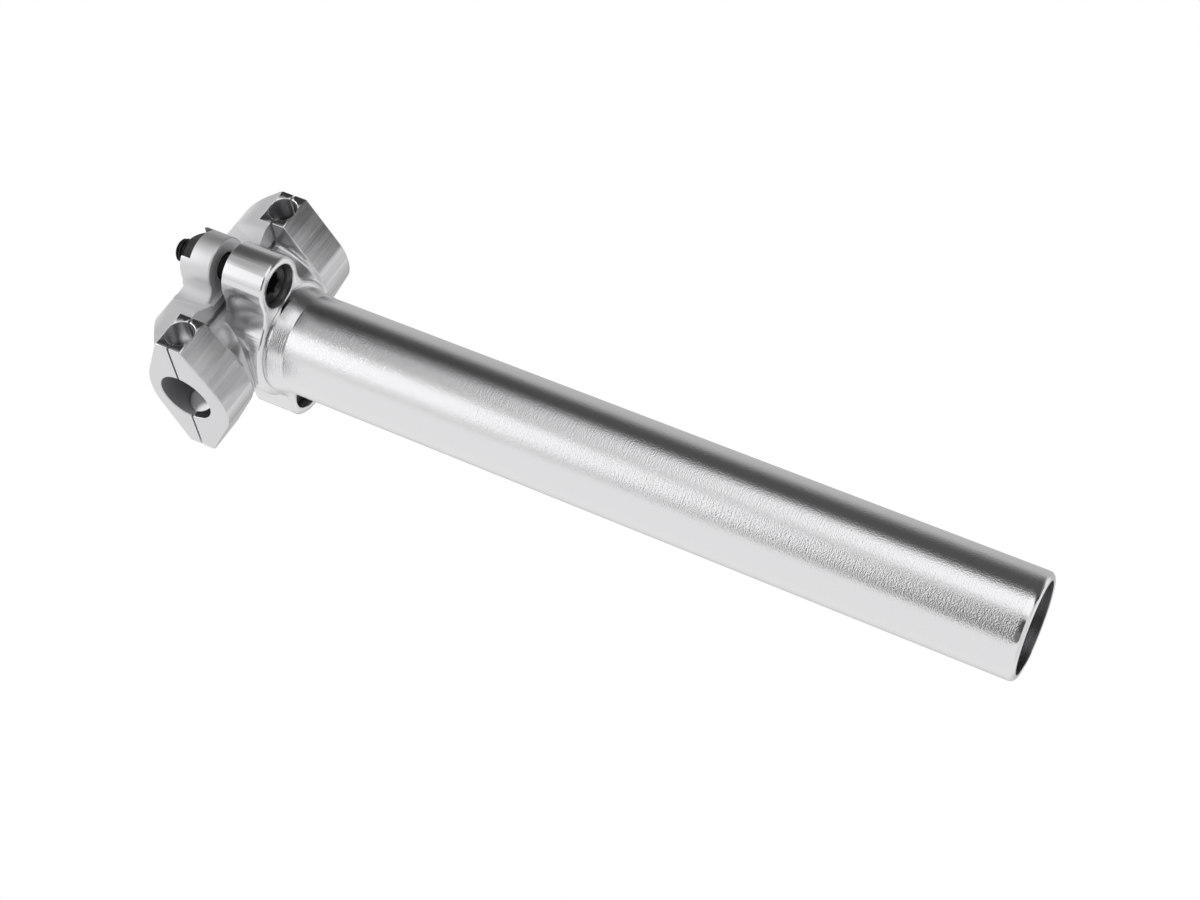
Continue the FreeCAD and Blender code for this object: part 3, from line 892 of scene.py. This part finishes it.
@dataclass(frozen=True)
class Panel:
    """A soft-edged part of the studio's surround, by azimuth and elevation in degrees."""

    azimuth: float
    half_width: float
    low: float
    high: float
    level: float
    side_soft: float = 10.0
    end_soft: float = 8.0

    def mask(self, azimuth: Wire, elevation: Wire) -> Wire:
        """How much of a direction the panel covers.

        Args:
            azimuth: The direction's azimuth.
            elevation: Its elevation.

        Returns:
            A share between 0 and 1.
        """
        away = (azimuth - self.azimuth).math("WRAP", 180.0, -180.0).math("ABSOLUTE")
        side = away.fall(self.half_width - self.side_soft / 2, self.half_width + self.side_soft / 2)
        above = elevation.step(self.low - self.end_soft / 2, self.low + self.end_soft / 2)
        below = elevation.fall(self.high - self.end_soft / 2, self.high + self.end_soft / 2)
        return side * above * below


@dataclass
class Studio:
    """Surround, floor and lamp."""

    surround: float = 0.97
    panels: tuple[Panel, ...] = (
        Panel(0.0, 180.0, -95.0, -48.0, 0.85, 1.0, 20.0),
        Panel(120.0, 52.0, -24.0, 50.0, 0.56, 56.0, 12.0),
        Panel(74.0, 52.0, -80.0, -62.0, 0.76, 24.0, 3.0),
        Panel(122.0, 20.0, -74.0, -44.0, 1.08, 14.0, 8.0),
        Panel(62.0, 36.0, -62.0, -40.0, 0.05, 20.0, 3.0),
        Panel(74.0, 14.0, -50.0, 50.0, 0.52, 18.0),
        Panel(74.0, 13.0, -50.0, 15.0, 0.29, 16.0, 10.0),
        Panel(50.0, 25.0, -50.0, 48.0, 0.10, 24.0),
        Panel(8.0, 24.0, 18.5, 48.0, 0.46, 12.0, 11.0),
        Panel(4.0, 17.0, -50.0, 17.5, 1.22, 9.0, 10.0),
        Panel(38.0, 21.0, 24.5, 44.0, 0.05, 14.0, 7.0),
        Panel(-42.0, 18.0, 12.0, 70.0, 1.20, 8.0, 8.0),
        Panel(-48.0, 24.0, -40.0, 9.0, 0.25, 6.0, 7.0),
        Panel(-48.0, 22.0, -40.0, 5.0, 0.09, 6.0, 7.0),
        Panel(-62.0, 11.0, -40.0, 12.0, 0.20, 5.0, 6.0),
        Panel(-19.0, 2.0, -40.0, 60.0, 0.62, 5.0),
        Panel(-74.5, 1.5, 8.0, 70.0, 0.60, 3.0, 4.0),
        Panel(-32.0, 24.0, 35.0, 75.0, 1.25, 10.0, 6.0),
    )
    floor_drop: float = 0.3 * MM
    floor_reach: float = 6.0
    floor_colour: Colour = (0.93, 0.93, 0.93)
    fade: tuple[float, float] = (0.12, 0.7)
    lamp_watts: float = 4.5
    lamp_size: float = 0.8
    lamp_place: tuple[float, float, float] = (0.55, -0.4, 1.3)
    lamp_aim: tuple[float, float, float] = (0.0, 0.0, 0.1)

    def light_world(self) -> None:
        """Makes the surround: pale all round, with the panels laid over it in their order.

        The camera itself sees plain white. The panels were placed by comparing the render with the photo.
        """
        world = bpy.data.worlds.new("studio")
        world.use_nodes = True
        bpy.context.scene.world = world
        net = Net(world.node_tree)
        x, y, z = net.split(net.node("ShaderNodeTexCoord", out="Generated"))
        azimuth = y.math("ARCTAN2", x) * math.degrees(1.0)
        elevation = z.math("ARCSINE") * math.degrees(1.0)
        level: Any = self.surround
        for panel in self.panels:
            mask = panel.mask(azimuth, elevation)
            level = (1 - mask) * level + mask * panel.level
        seen = net.node("ShaderNodeLightPath", out="Is Camera Ray")
        strength = level * (1 - seen) + seen
        shader = net.node("ShaderNodeBackground", {}, ((1.0, 1.0, 1.0, 1.0), strength))
        net.node("ShaderNodeOutputWorld", {}, (shader,))

    def lay_floor(self) -> None:
        """Lays the floor, which is seen from above only and keeps the shadow."""
        mesh = bpy.data.meshes.new("floor")
        reach = self.floor_reach
        mesh.from_pydata([(-reach, -reach, -self.floor_drop), (reach, -reach, -self.floor_drop),
                          (reach, reach, -self.floor_drop), (-reach, reach, -self.floor_drop)], [],
                         [(0, 1, 2, 3)])
        floor = bpy.data.objects.new("floor", mesh)
        bpy.context.scene.collection.objects.link(floor)
        material, net = new_material("floor_card")
        x, y, _ = net.split(net.place())
        near = net.distance(x, y).fall(*self.fade)
        seen = net.node("ShaderNodeLightPath", out="Is Camera Ray")
        under = net.node("ShaderNodeNewGeometry", out="Backfacing")
        card = net.node("ShaderNodeBsdfDiffuse", {}, (opaque(self.floor_colour),))
        clear = net.node("ShaderNodeBsdfTransparent")
        shader = net.node("ShaderNodeMixShader", {}, (seen * (1 - under) * near, clear, card))
        net.node("ShaderNodeOutputMaterial", {}, (shader,))
        mesh.materials.append(material)

    def hang_lamp(self) -> None:
        """Hangs one large soft lamp over the part."""
        data = bpy.data.lights.new("soft_lamp", "AREA")
        data.energy = self.lamp_watts
        data.size = self.lamp_size
        lamp = bpy.data.objects.new("soft_lamp", data)
        lamp.location = self.lamp_place
        away = Vector(self.lamp_place) - Vector(self.lamp_aim)
        lamp.rotation_mode = "QUATERNION"
        lamp.rotation_quaternion = away.to_track_quat("Z", "Y")
        bpy.context.scene.collection.objects.link(lamp)

    def build(self) -> None:
        """Sets up the studio."""
        self.light_world()
        self.lay_floor()
        self.hang_lamp()
        bpy.context.scene.view_settings.view_transform = "Standard"
        log.info("studio: %d panels", len(self.panels))


@dataclass
class Viewpoint:
    """The photograph's camera, in the part's frame."""

    place: tuple[float, float, float] = (379.7 * MM, -236.9 * MM, -51.6 * MM)
    right: tuple[float, float, float] = (-0.0702, 0.4736, -0.8780)
    down: tuple[float, float, float] = (-0.5989, -0.7238, -0.3425)
    focal_pixels: float = 2044.05
    image_width: float = 1200.0
    sensor_width: float = 36.0
    clip: tuple[float, float] = (0.01, 20.0)

    def build(self) -> None:
        """Makes the camera."""
        right = Vector(self.right).normalized()
        down = Vector(self.down)
        down = (down - right * down.dot(right)).normalized()
        forward = right.cross(down)
        data = bpy.data.cameras.new("photo_view")
        data.sensor_fit = "HORIZONTAL"
        data.sensor_width = self.sensor_width
        data.lens = self.focal_pixels * self.sensor_width / self.image_width
        data.clip_start, data.clip_end = self.clip
        camera = bpy.data.objects.new("photo_view", data)
        turned = Matrix((right, -down, -forward)).transposed()
        camera.matrix_world = Matrix.Translation(Vector(self.place)) @ turned.to_4x4()
        bpy.context.scene.collection.objects.link(camera)
        bpy.context.scene.camera = camera


@dataclass
class Seatpost:
    """The whole part."""

    post: Post = field(default_factory=Post)
    clamp: Clamp = field(default_factory=Clamp)
    bolt_x: float = 19.25 * MM

    def build(self) -> None:
        """Makes every piece with its finish."""
        black = BlackFinish().build()
        self.post.build(TurnedFinish().build())
        self.clamp.build(MachinedFinish().build(), BlastedFinish().build())
        thread_tree = Thread.tree()
        for name, side in (("front", 1), ("rear", -1)):
            Fastener(name, side * self.bolt_x).build(black, thread_tree)


def main() -> None:
    """Builds the part, its studio and its camera."""
    logging.basicConfig(level=logging.INFO, format="%(name)s %(message)s")
    Seatpost().build()
    Studio().build()
    Viewpoint().build()


if __name__ == "__main__":
    main()
